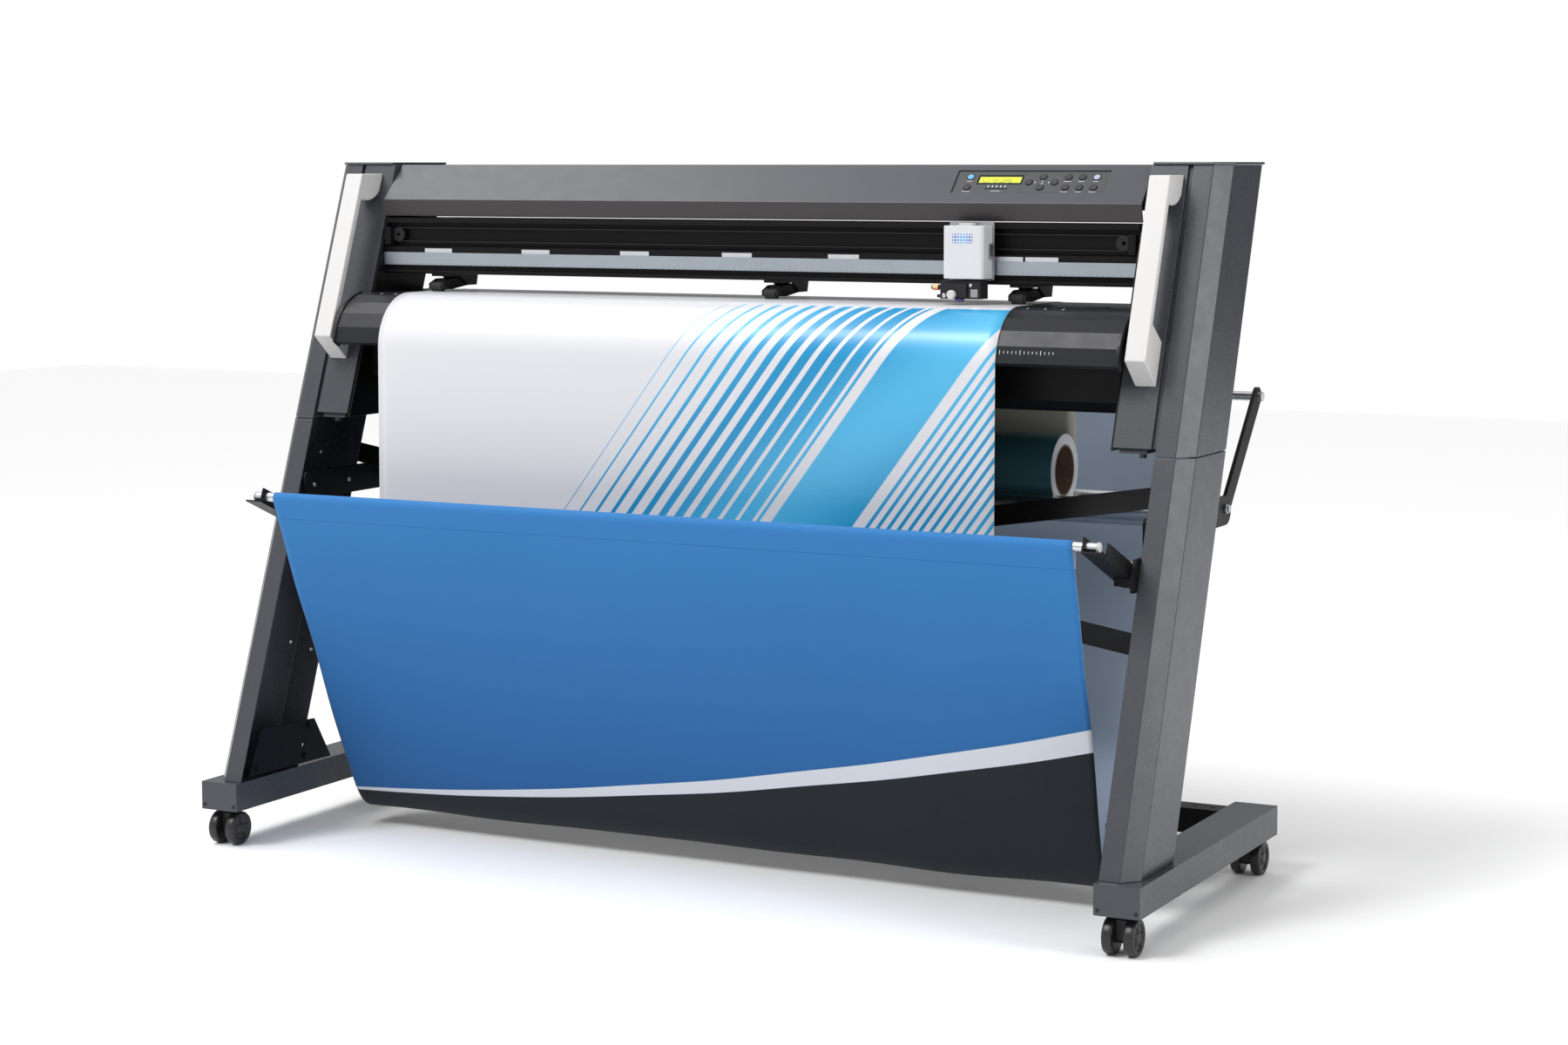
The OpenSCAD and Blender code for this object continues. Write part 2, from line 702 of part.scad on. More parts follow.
// Sheet from the back of the roll, over the bed and down over the apron
module media_sheet() {
    lo = sheet_gap;
    hi = sheet_gap + sheet_t_media;
    bends = 10;
    color([0.95, 0.95, 0.96]) placed() slab(sheet_left, sheet_right)
        polygon(concat(
            [[roll_at[0] + roll_r + roll_gap + sheet_t_media, roll_at[1]]],
            arc(rear_c, rear_r + hi, -90, 0, rear_bends),
            arc(apron_c, apron_r + 0.5 + hi, 0, 90, bends),
            [[apron_c[0] - apron_r - 0.5 - hi, sheet_low], [apron_c[0] - apron_r - 0.5 - lo, sheet_low]],
            arc(apron_c, apron_r + 0.5 + lo, 90, 0, bends),
            arc(rear_c, rear_r + lo, 0, -90, rear_bends),
            [[roll_at[0] + roll_r + roll_gap, roll_at[1]]]));
}

// ---- catch basket --------------------------------------------------------

rear_plate_y = [196, 575];
rear_plate_z = [557, 603];

// Plates on the uprights: they hold the media rollers, the rear rod and the front arms
module basket_brackets() {
    elbow = [rear_plate_y[1] - 22, (rear_plate_z[0] + rear_plate_z[1]) / 2];
    reach = rear_rod - elbow;
    color(black) placed() both_sides() {
        difference() {
            union() {
                slab(plate_x[0], plate_x[1])
                    polygon([[rear_plate_y[0] + 4, rear_plate_z[0]],
                        [rear_plate_y[0], rear_plate_z[0] + 5],
                        [rear_plate_y[0], rear_plate_z[1] - 5],
                        [rear_plate_y[0] + 5, rear_plate_z[1]],
                        [elbow[0], rear_plate_z[1]], [elbow[0], rear_plate_z[0]]]);
                slab(plate_x[0], plate_x[1]) union() {
                    translate(elbow) circle(r = 23, $fn = fine);
                    translate(elbow) rotate(atan2(reach[1], reach[0])) translate([0, -arm_tip_r])
                        square([norm(reach), 2 * arm_tip_r]);
                    translate(rear_rod) circle(r = arm_tip_r, $fn = fine);
                }
            }
            for (side = [-1, 1])
                bar_x([roll_at[0] + side * roller_dy, roller_z], journal_r + run_fit,
                    plate_x[0] - 1, plate_x[1] + 1);
            bar_x(rear_rod, rod_r + run_fit, plate_x[0] - 1, plate_x[1] + 1);
        }
        // pivot plate, its pins and the stop under each front arm
        slab(plate_x[0], plate_x[1]) polygon([[146, 500], [146, 536], [160, 548], [222, 548],
            [222, 512], [205, 500]]);
        bar_x(arm_pivot, 4, arm_x[0] - 3, plate_x[0] + eps);
        slab(arm_x[0] + 6, plate_x[0] + eps) 
            polygon([[146, 509], [146, 520.9], [156, 516.6], [156, 509]]);
    }
}

arm_rise = atan2(front_rod[1] - arm_pivot[1], arm_pivot[0] - front_rod[0]);

// Frame of a front arm: X across, Y forward along the arm from its pivot, Z up
module on_arm() {
    translate([0, arm_pivot[0], arm_pivot[1]]) rotate([0, 0, 180]) rotate([arm_rise, 0, 0]) children();
}

// Two bent channels, open at the top, with slots for the rod
module basket_front_arms() {
    back = -28;
    reach = norm(front_rod - arm_pivot) + 14;
    low = -13;
    high = 11;
    color(black) placed() for (side = [-1, 1]) difference() {
        on_arm() difference() {
            block([side > 0 ? -arm_x[1] : arm_x[0], back, low],
                [side > 0 ? -arm_x[0] : arm_x[1], reach, high]);
            block([side > 0 ? -arm_x[1] + arm_wall : arm_x[0] + arm_wall, back - 1, low + arm_wall],
                [side > 0 ? -arm_x[0] - arm_wall : arm_x[1] - arm_wall, reach + 1, high + 1]);
            // cut-away outer wall at the front end
            block([side > 0 ? -arm_x[1] - 1 : arm_x[1] - arm_wall - eps, reach - 26, low + arm_wall],
                [side > 0 ? -arm_x[1] + arm_wall + eps : arm_x[1] + 1, reach + 1, high + 1]);
        }
        bar_x(arm_pivot, 4 + run_fit, -plate_x[0], plate_x[0]);
        bar_x(front_rod, rod_r + run_fit, -arm_x[1], arm_x[1]);
    }
}

module basket_front_rod() {
    color(steel) placed() bar_x(front_rod, rod_r, -arm_x[1] + 9, arm_x[1] - 9);
}

module basket_rear_rod() {
    color(steel) placed() bar_x(rear_rod, rod_r, -plate_x[1] - 6, plate_x[1] + 6);
}

cloth_t = 3;
cloth_low = [292, 22];            // lowest point of the basket

// Cloth catch basket: a slack sheet from the front rod to the rear rod, open at both ends
module basket_cloth() {
    top_f = front_rod + [5, -rod_r - 1];
    top_r = rear_rod + [-4, -rod_r - 1];
    bend = [238, 50];
    rise = [345, 60];
    color([0.2, 0.42, 0.72]) placed() slab(-cloth_x, cloth_x)
        polygon([top_f, bend, [262, 26], cloth_low, [322, 30], rise, top_r,
            top_r + [0, -4], rise + [2.5, -2], [323, 27], cloth_low + [0, -cloth_t], [260.5, 23],
            bend + [-2.5, -1.2], top_f + [-3, 0]]);
}

// ---- output --------------------------------------------------------------

left_foot();
right_foot();
rear_stay();
left_upright();
right_upright();
stand_braces();
head_housings();
side_covers();
side_handles();
top_cover();
control_panel();
display_window();
guide_beam();
guide_strip();
bed();
front_apron();
chassis();
grit_shaft();
carriage_drive();
carriage_plate();
carriage_cover();
tool_holder();
pinch_bracket_left();
pinch_bracket_middle();
pinch_bracket_right();
pinch_arm_left();
pinch_arm_middle();
pinch_arm_right();
pinch_roller_left();
pinch_roller_middle();
pinch_roller_right();
power_button();
setup_button();
arrow_left_button();
arrow_up_button();
arrow_right_button();
arrow_down_button();
key_1_button();
key_2_button();
key_3_button();
key_4_button();
key_5_button();
key_6_button();
caster_fork_front_left();
caster_fork_front_right();
caster_fork_rear_left();
caster_fork_rear_right();
caster_wheels_front_left();
caster_wheels_front_right();
caster_wheels_rear_left();
caster_wheels_rear_right();
media_roll();
media_sheet();
media_roller_front();
media_roller_rear();
basket_brackets();
basket_front_arms();
basket_front_rod();
basket_rear_rod();
basket_cloth();
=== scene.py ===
"""Looks of the floor-standing vinyl cutter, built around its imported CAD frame."""

import math

import bmesh
import bpy
from mathutils import Matrix, Vector


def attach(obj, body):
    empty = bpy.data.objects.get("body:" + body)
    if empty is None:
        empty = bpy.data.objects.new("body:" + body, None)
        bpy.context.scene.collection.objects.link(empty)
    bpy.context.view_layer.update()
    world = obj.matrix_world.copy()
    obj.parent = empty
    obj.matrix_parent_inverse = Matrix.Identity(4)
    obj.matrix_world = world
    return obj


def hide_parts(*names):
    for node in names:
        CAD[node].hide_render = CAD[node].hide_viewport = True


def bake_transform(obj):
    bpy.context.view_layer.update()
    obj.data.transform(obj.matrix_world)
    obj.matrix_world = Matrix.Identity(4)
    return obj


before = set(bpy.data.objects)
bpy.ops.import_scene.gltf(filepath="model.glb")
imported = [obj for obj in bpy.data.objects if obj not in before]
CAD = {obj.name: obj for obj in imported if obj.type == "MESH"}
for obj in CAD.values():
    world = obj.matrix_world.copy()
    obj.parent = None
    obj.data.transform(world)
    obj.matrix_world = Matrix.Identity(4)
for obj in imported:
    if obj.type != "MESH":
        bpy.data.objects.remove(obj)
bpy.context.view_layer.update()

# ---- places, in millimetres as the CAD source states them ------------------------------

HALF_DEPTH = 360        # depths are written from the front ends of the feet
LEAN = math.radians(20)
SLOPE = math.atan2(59, 58)          # slope of the top cover's front
SLOPE_FOOT = (344, 1059)
PANEL_DEEP = 2.5
KEYS = [(387, 58), (387, 36), (487.5, 47), (508.5, 58), (529.5, 47), (508.5, 36)]
KEYS += [(x, up) for up in (58, 36) for x in (550, 573, 596)]
FRONT_ROD, REAR_ROD, ROD_R = (48, 577), (705, 748), 7.5
ROLL, ROLL_R, CORE_R, CORE_WALL = (490, 637), 58, 38, 3.2
ARM_PIVOT = (175, 523)
CARRIAGE_X = 413
APRON_C, APRON_R, APRON_BENDS, APRON_END = (302, 815), 88, 5, 85
REAR_C, REAR_R = (470, 843.5), 60   # the bend behind the bed
SHEET_X = (-607, 503)
SHEET_LOW = 470
CASTER_X, AXLE_Z = 784, 27.5
STEM_AND_AXLE = ((40, 28), (577, 589))      # depths of the front and rear casters
CHASSIS_BACK = 440.1
POST_INSIDE = 751       # inner side of an upright, across
PINCH_PLACES = ("left", "middle", "right")
CORNERS = [("front_left", -1, 0), ("front_right", 1, 0), ("rear_left", -1, 1), ("rear_right", 1, 1)]


def at(x, depth, z):
    """A point given in millimetres, with its depth from the feet's front ends."""
    return Vector((x / 1000, (depth - HALF_DEPTH) / 1000, z / 1000))


def on_slope(x, up, out=0.0):
    """A point on the top cover's slope: across, up the slope and out of it."""
    return at(x, SLOPE_FOOT[0] + up * math.cos(SLOPE) - out * math.sin(SLOPE),
              SLOPE_FOOT[1] + up * math.sin(SLOPE) + out * math.cos(SLOPE))


def on_post(x, up, out=0.0):
    """A point on the leaning front plane of the uprights."""
    return at(x, 14 + up * math.sin(LEAN) - out * math.cos(LEAN),
              106 + up * math.cos(LEAN) + out * math.sin(LEAN))


SLOPE_FRAME = Matrix.Rotation(SLOPE, 3, "X")
FACING_FRONT = Matrix(((1, 0, 0), (0, 0, -1), (0, 1, 0)))
FACING_BACK = Matrix(((-1, 0, 0), (0, 0, 1), (0, 1, 0)))
FACING_RIGHT = Matrix(((0, 0, 1), (1, 0, 0), (0, 1, 0)))
FACING_LEFT = Matrix(((0, 0, -1), (-1, 0, 0), (0, 1, 0)))
FACING_UP = Matrix.Identity(3)


# ---- shader building ---------------------------------------------------------------------

class Field:
    """A number that varies over a surface, built from shader math."""

    def __init__(self, tree, socket):
        self.tree, self.socket = tree, socket

    def math(self, operation, *others):
        node = self.tree.nodes.new("ShaderNodeMath")
        node.operation = operation
        for i, value in enumerate((self,) + others):
            if isinstance(value, Field):
                self.tree.links.new(value.socket, node.inputs[i])
            else:
                node.inputs[i].default_value = value
        return Field(self.tree, node.outputs[0])

    def __add__(self, o):
        return self.math("ADD", o)

    def __sub__(self, o):
        return self.math("SUBTRACT", o)

    def __mul__(self, o):
        return self.math("MULTIPLY", o)

    def __truediv__(self, o):
        return self.math("DIVIDE", o)

    def above(self, edge, soft):
        """0 below the edge, 1 above it, over a soft width."""
        if isinstance(edge, Field):
            return (self - edge).above(0.0, soft)
        node = self.tree.nodes.new("ShaderNodeMapRange")
        node.interpolation_type = "SMOOTHSTEP"
        self.tree.links.new(self.socket, node.inputs["Value"])
        node.inputs["From Min"].default_value = edge - soft
        node.inputs["From Max"].default_value = edge + soft
        return Field(self.tree, node.outputs["Result"])

    def flipped(self):
        """One less the number."""
        return self.math("MULTIPLY_ADD", -1.0, 1.0)

    def below(self, edge, soft):
        """1 below the edge, 0 above it, over a soft width."""
        return self.above(edge, soft).flipped()

    def between(self, low, high, soft):
        return self.above(low, soft) * self.below(high, soft)

    def wave(self, period):
        """0 to 1 and back, once a period."""
        return (self * (2 * math.pi / period)).math("SINE").math("MULTIPLY_ADD", 0.5, 0.5)

    def cell(self, period):
        """Signed distance from the middle of each repeat."""
        return (self / period).math("FRACT").math("SUBTRACT", 0.5) * period


class Surface:
    """A procedural material: base colour with slow variation, roughness with wear, and a fine relief."""

    CLOUD_SCALE, WORN_SCALE = 7.0, 38.0

    def __init__(self, name, base, rough=0.5, metal=0.0, vary=0.08, grain=0.15, grain_size=0.0008,
                 stretch=(1, 1, 1), wear=0.14, **constants):
        self.material = bpy.data.materials.new(name)
        self.material.use_nodes = True
        self.material.diffuse_color = (*base, 1)
        self.tree = self.material.node_tree
        self.shader = self.tree.nodes["Principled BSDF"]
        coordinates = self.tree.nodes.new("ShaderNodeTexCoord")
        self.place = coordinates.outputs["Object"]
        self.uv = coordinates.outputs["UV"]
        self.shader.inputs["Metallic"].default_value = metal
        for socket, value in constants.items():
            self.shader.inputs[socket.replace("_", " ")].default_value = value
        cloud = self.noise(self.CLOUD_SCALE, 4)
        self.colour = self.mix(cloud, [c * (1 - vary) for c in base], [min(1, c * (1 + vary)) for c in base])
        worn = self.noise(self.WORN_SCALE, 5)
        self.rough = worn.math("MULTIPLY_ADD", wear, rough - wear / 2)
        self.relief = self.noise(0.35 / grain_size, 2, stretch)
        self.grain, self.bump_depth = grain, grain_size * 0.35

    def noise(self, scale, detail, stretch=(1, 1, 1)):
        node = self.tree.nodes.new("ShaderNodeTexNoise")
        node.inputs["Scale"].default_value = scale
        node.inputs["Detail"].default_value = detail
        if stretch != (1, 1, 1):
            mapping = self.tree.nodes.new("ShaderNodeMapping")
            mapping.inputs["Scale"].default_value = stretch
            self.tree.links.new(self.place, mapping.inputs["Vector"])
            self.tree.links.new(mapping.outputs[0], node.inputs["Vector"])
        else:
            self.tree.links.new(self.place, node.inputs["Vector"])
        return Field(self.tree, node.outputs["Fac"])

    def mix(self, factor, a, b):
        node = self.tree.nodes.new("ShaderNodeMix")
        node.data_type = "RGBA"
        self.tree.links.new(factor.socket, node.inputs["Factor"])
        for socket, value in ((node.inputs[6], a), (node.inputs[7], b)):
            if isinstance(value, bpy.types.NodeSocket):
                self.tree.links.new(value, socket)
            else:
                socket.default_value = (*value, 1)
        return node.outputs[2]

    def paint(self, factor, colour):
        """Lays a colour over the base where factor is 1."""
        self.colour = self.mix(factor, self.colour, colour)
        return self

    def axes(self, source=None):
        node = self.tree.nodes.new("ShaderNodeSeparateXYZ")
        self.tree.links.new(source or self.place, node.inputs[0])
        return [Field(self.tree, output) for output in node.outputs]

    def done(self):
        self.tree.links.new(self.colour, self.shader.inputs["Base Color"])
        self.tree.links.new(self.rough.socket, self.shader.inputs["Roughness"])
        bump = self.tree.nodes.new("ShaderNodeBump")
        bump.inputs["Strength"].default_value = self.grain
        bump.inputs["Distance"].default_value = self.bump_depth
        self.tree.links.new(self.relief.socket, bump.inputs["Height"])
        self.tree.links.new(bump.outputs[0], self.shader.inputs["Normal"])
        return self.material


def worn_paint(name, base, rough, **more):
    """Powder-coated steel: fine orange peel and faint paler scuffs."""
    s = Surface(name, base, rough, vary=0.06, grain=0.25, grain_size=0.0011, **more)
    scuff = s.noise(90.0, 8).above(0.69, 0.02) * s.noise(5.0, 3).above(0.60, 0.10)
    return s.paint(scuff * 0.35, [min(1, c * 1.5 + 0.03) for c in base]).done()


PAINT = worn_paint("body_paint", (0.046, 0.050, 0.060), 0.28, Specular_IOR_Level=0.46)
APRON = worn_paint("apron_paint", (0.0165, 0.017, 0.020), 0.34, Specular_IOR_Level=0.24)
BLACK = worn_paint("black_paint", (0.006, 0.006, 0.0068), 0.40, Specular_IOR_Level=0.16)
DARK = Surface("dark_plastic", (0.014, 0.014, 0.016), 0.5, grain=0.3, Specular_IOR_Level=0.3).done()
WHITE = Surface("white_plastic", (0.64, 0.63, 0.62), 0.40, vary=0.02, grain=0.12, grain_size=0.0006).done()
STEEL = Surface("brushed_steel", (0.62, 0.63, 0.65), 0.30, 1.0, grain=0.25, stretch=(0.02, 1, 1)).done()
BOLT = Surface("bolt_steel", (0.66, 0.67, 0.69), 0.26, 1.0, grain=0.1, grain_size=0.0004).done()
BRASS = Surface("brass", (0.62, 0.44, 0.20), 0.32, 1.0, grain=0.15, grain_size=0.0004).done()
COPPER = Surface("copper_knob", (0.66, 0.30, 0.16), 0.34, 1.0, grain=0.2, grain_size=0.0004).done()
GREY_METAL = Surface("plate_metal", (0.40, 0.41, 0.43), 0.36, 0.9, grain=0.2).done()
RUBBER = Surface("rubber", (0.018, 0.018, 0.019), 0.75, grain=0.6, grain_size=0.0007).done()
WHEEL = Surface("wheel_nylon", (0.012, 0.012, 0.013), 0.36, grain=0.2).done()
VIOLET = Surface("violet_plastic", (0.22, 0.16, 0.55), 0.4, grain=0.15).done()
TICK = Surface("white_marks", (0.72, 0.73, 0.74), 0.6, vary=0.04, grain=0.1).done()
CARBON = Surface("vent_black", (0.006, 0.006, 0.006), 0.8, grain=0.1).done()


def cover_paint():
    """The body's paint, with painted shade on the cover's lower lip: a darker brownish band."""
    s = Surface("cover_paint", (0.062, 0.067, 0.079), 0.38, vary=0.05, grain=0.25, grain_size=0.0011,
                Specular_IOR_Level=0.42)
    _, y, z = s.axes()
    # Painted shade: the front lip below the slope's foot, which faces down, is painted darker and brownish.
    lip = z.below(SLOPE_FOOT[1] / 1000 - 0.0006, 0.0003) * y.below((400 - HALF_DEPTH) / 1000, 0.001)
    return s.paint(lip, (0.040, 0.034, 0.037)).done()


def strip_material():
    """Ground steel with a long grain, a faint scale of short marks, and paler tabs above it."""
    s = Surface("ground_strip", (0.42, 0.47, 0.52), 0.30, 0.75, grain=0.3, stretch=(0.015, 1, 1))
    x, _, z = s.axes()
    marks = x.cell(0.01).math("ABSOLUTE").below(0.0006, 0.0002)
    tab_foot = 0.9702
    s.paint(z.above(tab_foot, 0.0003), (0.72, 0.74, 0.76))
    return s.paint(marks * z.between(0.9495, 0.9525, 0.0003) * 0.5, (0.12, 0.13, 0.15)).done()


def roll_material():
    """Film wound on a card core: coloured outside, ringed ends, brown bore."""
    s = Surface("media_roll", (0.045, 0.140, 0.175), 0.26, vary=0.05, grain=0.06, grain_size=0.004,
                wear=0.03, Coat_Weight=0.35, Coat_Roughness=0.12)
    _, y, z = s.axes()
    dy = y - (ROLL[0] - HALF_DEPTH) / 1000
    dz = z - ROLL[1] / 1000
    radius = (dy * dy + dz * dz).math("SQRT")
    inside = radius.below((ROLL_R - 0.4) / 1000, 0.00015)
    rings = radius.wave(0.0011) * 0.5 + s.noise(60, 4) * 0.5
    s.paint(inside, s.mix(rings, (0.50, 0.51, 0.52), (0.72, 0.72, 0.71)))
    core = radius.below((CORE_R + CORE_WALL) / 1000, 0.0002)
    s.paint(core, s.mix(s.noise(120, 5), (0.10, 0.065, 0.045), (0.20, 0.14, 0.10)))
    return s.done()


def cover_material():
    """White moulding with a small grid of blue dots on its front."""
    s = Surface("carriage_white", (0.66, 0.67, 0.69), 0.33, vary=0.02, grain=0.12, grain_size=0.0006)
    x, y, z = s.axes()
    pitch, middle_z = 0.0048, 1.0055
    u, w = x - CARRIAGE_X / 1000, z - middle_z
    du, dw = u.cell(pitch), w.cell(pitch)
    dot = (du * du + dw * dw).math("SQRT").below(0.0017, 0.0002)
    block = u.math("ABSOLUTE").below(0.0168, 0.0002)
    rows = w.between(-0.0072, 0.0072, 0.0002)
    front = y.below((296 - HALF_DEPTH) / 1000, 0.0001)
    centre = (u.math("ABSOLUTE") + w.math("ABSOLUTE") * 0.6).below(0.010, 0.004)
    return s.paint(dot * block * rows * front, s.mix(centre, (0.015, 0.10, 0.52), (0.03, 0.38, 0.85))).done()


def display_material():
    """Yellow backlit display with two rows of plain blocks."""
    s = Surface("display", (0.62, 0.66, 0.05), 0.25, vary=0.05, grain=0.02, Emission_Strength=0.15)
    s.shader.inputs["Emission Color"].default_value = (0.62, 0.66, 0.05, 1)
    x, y, _ = s.axes()
    across = x.cell(0.0034).math("ABSOLUTE").below(0.0011, 0.0001)
    up = (y - on_slope(0, 52.5)[1])
    rows = up.between(0.0006, 0.0026, 0.0001) + up.between(-0.0024, -0.0005, 0.0001)
    lit = s.noise(160.0, 0).above(0.44, 0.01)
    inside = x.between(0.408, 0.458, 0.0002)
    return s.paint(across * rows * lit * inside * 0.8, (0.10, 0.11, 0.02)).done()


STRIP = strip_material()
ROLL_SKIN = roll_material()
COVER_SKIN = cover_material()
DISPLAY = display_material()
COVER_PAINT = cover_paint()

KEY_BLACK = Surface("key_black", (0.030, 0.030, 0.034), 0.35, grain=0.15).done()
KEY_PALE = Surface("key_pale", (0.42, 0.46, 0.56), 0.35, grain=0.15).done()
KEY_BLUE = Surface("key_blue", (0.14, 0.46, 0.80), 0.25, grain=0.08, Coat_Weight=0.5).done()
PANEL = Surface("panel_grey", (0.050, 0.051, 0.055), 0.45, grain=0.3, grain_size=0.0007).done()


def share_material(names, material):
    for name in names:
        slots = CAD[name].data.materials
        slots.clear()
        slots.append(material)


share_material(["left_foot", "right_foot", "left_upright", "right_upright", "head_housings",
                "side_covers"], PAINT)
share_material(["top_cover"], COVER_PAINT)
share_material(["front_apron"], APRON)
share_material(["rear_stay", "stand_braces", "guide_beam", "bed", "chassis", "basket_brackets",
                "basket_front_arms"], BLACK)
share_material(["side_handles"], WHITE)
share_material(["carriage_cover"], COVER_SKIN)
share_material(["carriage_plate"], GREY_METAL)
share_material(["tool_holder", "carriage_drive"] + ["caster_fork_" + c[0] for c in CORNERS], DARK)
share_material(["pinch_%s_%s" % (part, place) for part in ("bracket", "arm") for place in PINCH_PLACES], DARK)
share_material(["pinch_roller_" + place for place in PINCH_PLACES], RUBBER)
share_material(["grit_shaft", "media_roller_front", "media_roller_rear", "basket_front_rod",
                "basket_rear_rod"], STEEL)
share_material(["guide_strip"], STRIP)
share_material(["display_window"], DISPLAY)
share_material(["control_panel"], PANEL)
share_material(["media_roll"], ROLL_SKIN)
share_material([n for n in CAD if n.endswith("_button")], KEY_BLACK)
share_material(["power_button"], KEY_BLUE)
share_material(["key_3_button"], KEY_PALE)


def soften(names, width, segments=2):
    """Rounds a CAD node's sharp edges with modifiers, and leaves its mesh alone."""
    for name in names:
        node = CAD[name]
        weld = node.modifiers.new("weld", "WELD")
        weld.merge_threshold = 1e-5
        flat = node.modifiers.new("flat", "DECIMATE")
        flat.decimate_type = "DISSOLVE"
        flat.angle_limit = math.radians(0.5)
        bevel = node.modifiers.new("bevel", "BEVEL")
        bevel.width, bevel.segments = width / 1000, segments
        bevel.limit_method, bevel.angle_limit = "ANGLE", math.radians(28)
        bevel.use_clamp_overlap = True
        even = node.modifiers.new("even", "WEIGHTED_NORMAL")
        even.keep_sharp = False
        even.weight = 90


soften(["left_foot", "right_foot", "left_upright", "right_upright", "head_housings", "side_covers",
        "top_cover"], 1.2)
soften(["side_handles", "carriage_cover"], 2.0, 3)
soften(["rear_stay", "stand_braces", "carriage_plate", "basket_brackets"], 0.6)
soften(["tool_holder"] + ["caster_fork_" + c[0] for c in CORNERS], 0.8)


# ---- mesh building -----------------------------------------------------------------------

def linked(name, data):
    """A new object of the scene with this mesh, light or camera."""
    o = bpy.data.objects.new(name, data)
    bpy.context.scene.collection.objects.link(o)
    return o


def piece(name, body, materials, build, bevel=0.0, smooth=True):
    """A new piece from a function that fills a bmesh; it rides on a body."""
    mesh = bpy.data.meshes.new(name)
    bm = bmesh.new()
    build(bm)
    bmesh.ops.recalc_face_normals(bm, faces=bm.faces)
    for face in bm.faces:
        face.smooth = smooth
    bm.to_mesh(mesh)
    bm.free()
    for material in materials:
        mesh.materials.append(material)
    o = linked(name, mesh)
    if bevel:
        m = o.modifiers.new("bevel", "BEVEL")
        m.width, m.segments, m.limit_method = bevel / 1000, 2, "ANGLE"
        m.angle_limit = math.radians(28)
        m.use_clamp_overlap = True
    w = o.modifiers.new("even", "WEIGHTED_NORMAL")
    w.keep_sharp = False
    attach(o, body)
    return o


def placed(centre, turn=FACING_UP):
    m = turn.to_4x4()
    m.translation = centre
    return m


def add_box(bm, centre, size, turn=FACING_UP, index=0):
    """A box of a size in millimetres; its third axis points out of the face it stands on."""
    scale = Matrix.Diagonal((size[0] / 1000, size[1] / 1000, size[2] / 1000, 1))
    made = bmesh.ops.create_cube(bm, size=1.0, matrix=placed(centre, turn) @ scale)
    for face in {f for v in made["verts"] for f in v.link_faces}:
        face.material_index = index


def add_lathe(bm, centre, turn, profile, steps=40, index=0, cogs=0, cog_depth=0.0, closed=False):
    """Turns a profile of (out, radius) in millimetres round the third axis of turn. A ring's profile
    closes on itself; any other gets a flat end at its first and last points."""
    rings = []
    frame_at = placed(centre, turn)
    for out, radius in profile:
        ring = []
        for i in range(steps):
            a = 2 * math.pi * i / steps
            r = radius - (cog_depth if (i * cogs * 2 // steps) % 2 and radius > 1 else 0)
            point = Vector((r * math.cos(a) / 1000, r * math.sin(a) / 1000, out / 1000))
            ring.append(bm.verts.new(frame_at @ point))
        rings.append(ring)
    for a, b in zip(rings, rings[1:] + rings[:1] if closed else rings[1:]):
        for i in range(steps):
            bm.faces.new((a[i], a[(i + 1) % steps], b[(i + 1) % steps], b[i])).material_index = index
    if not closed:
        bm.faces.new(list(reversed(rings[0]))).material_index = index
        bm.faces.new(rings[-1]).material_index = index


def add_screw(bm, centre, turn, r=3.0, index=0):
    """Button-head screw with a hexagonal socket, standing on a face."""
    add_lathe(bm, centre, turn, [(0, r), (r * 0.25, r), (r * 0.5, r * 0.82), (r * 0.62, r * 0.5)], 24, index)
    add_lathe(bm, centre, turn, [(r * 0.6, r * 0.46), (r * 0.67, r * 0.46)], 6, index)


def add_hex(bm, centre, turn, across, height, index=0):
    """Hexagonal nut with eased edges, of a width across its flats."""
    r = across / 2 / math.cos(math.pi / 6)
    profile = [(0, r * 0.96), (height * 0.15, r), (height * 0.85, r), (height, r * 0.93)]
    add_lathe(bm, centre, turn, profile, 6, index)


# ---- sheets --------------------------------------------------------------------------------

def arc(centre, radius, start, end, steps):
    """Points (depth, height) of an arc, with angles from straight up, positive to the front."""
    out = []
    for i in range(steps + 1):
        a = math.radians(start + (end - start) * i / steps)
        out.append((centre[0] - radius * math.sin(a), centre[1] + radius * math.cos(a)))
    return out


def resample(points, step):
    """Even points along a line, with the length run at each."""
    lengths = [0.0]
    for a, b in zip(points, points[1:]):
        lengths.append(lengths[-1] + math.dist(a, b))
    count = max(2, round(lengths[-1] / step))
    out, k = [], 0
    for i in range(count + 1):
        s = lengths[-1] * i / count
        while k < len(points) - 2 and lengths[k + 1] < s:
            k += 1
        t = (s - lengths[k]) / max(1e-9, lengths[k + 1] - lengths[k])
        out.append((tuple(a + (b - a) * t for a, b in zip(points[k], points[k + 1])), s))
    return out


def relax(points, passes, keep):
    """Softens the corners of an evenly sampled line; the first and last points marked by keep stay."""
    line = [list(p) for p in points]
    for _ in range(passes):
        old = [list(p) for p in line]
        for i in range(keep[0], len(line) - keep[1]):
            for c in (0, 1):
                line[i][c] = (old[i - 1][c] + 2 * old[i][c] + old[i + 1][c]) / 4
    return line


